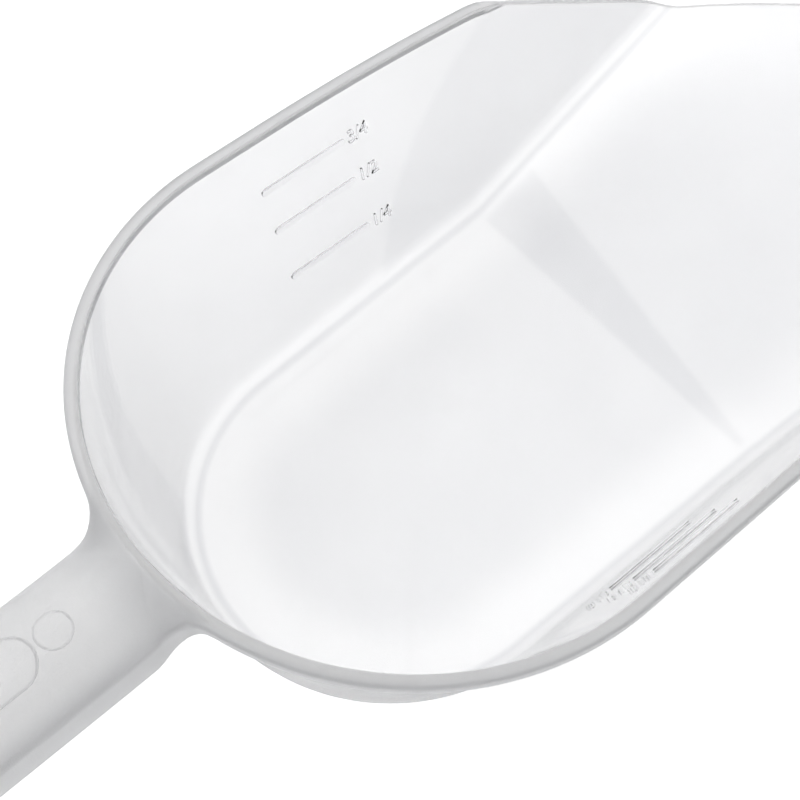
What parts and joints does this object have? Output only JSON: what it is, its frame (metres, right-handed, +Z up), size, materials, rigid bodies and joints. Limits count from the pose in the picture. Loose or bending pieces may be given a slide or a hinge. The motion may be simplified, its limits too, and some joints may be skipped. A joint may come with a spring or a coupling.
{
  "type": "feed scoop",
  "caption": "Hand scoop moulded from clear plastic: flat floor, round back, flared walls with fill marks, pouring ramp and a hollow handle.",
  "frame": {"origin": "middle of the bounding box's underside, on the plane that the flat floor stands on", "axes": "+X from the handle to the pouring lip, +Y to the left wall seen from the handle, +Z up"},
  "size_m": [0.401, 0.1584, 0.0761],
  "materials": {
    "clear_plastic": "glossy inside, fine spark-eroded frosting outside, translucent",
    "frosted_plastic": "translucent with a fine grain",
    "mark_plastic": "glossy and translucent"
  },
  "bodies": {
    "root": {"bowl": "clear_plastic", "rim_bead": "frosted_plastic", "handle": "frosted_plastic", "handle_badge": "frosted_plastic", "graduation_quarter_left": "mark_plastic", "graduation_quarter_right": "mark_plastic", "graduation_half_left": "mark_plastic", "graduation_half_right": "mark_plastic", "graduation_three_quarter_left": "mark_plastic", "graduation_three_quarter_right": "mark_plastic"}
  },
  "joints": []
}
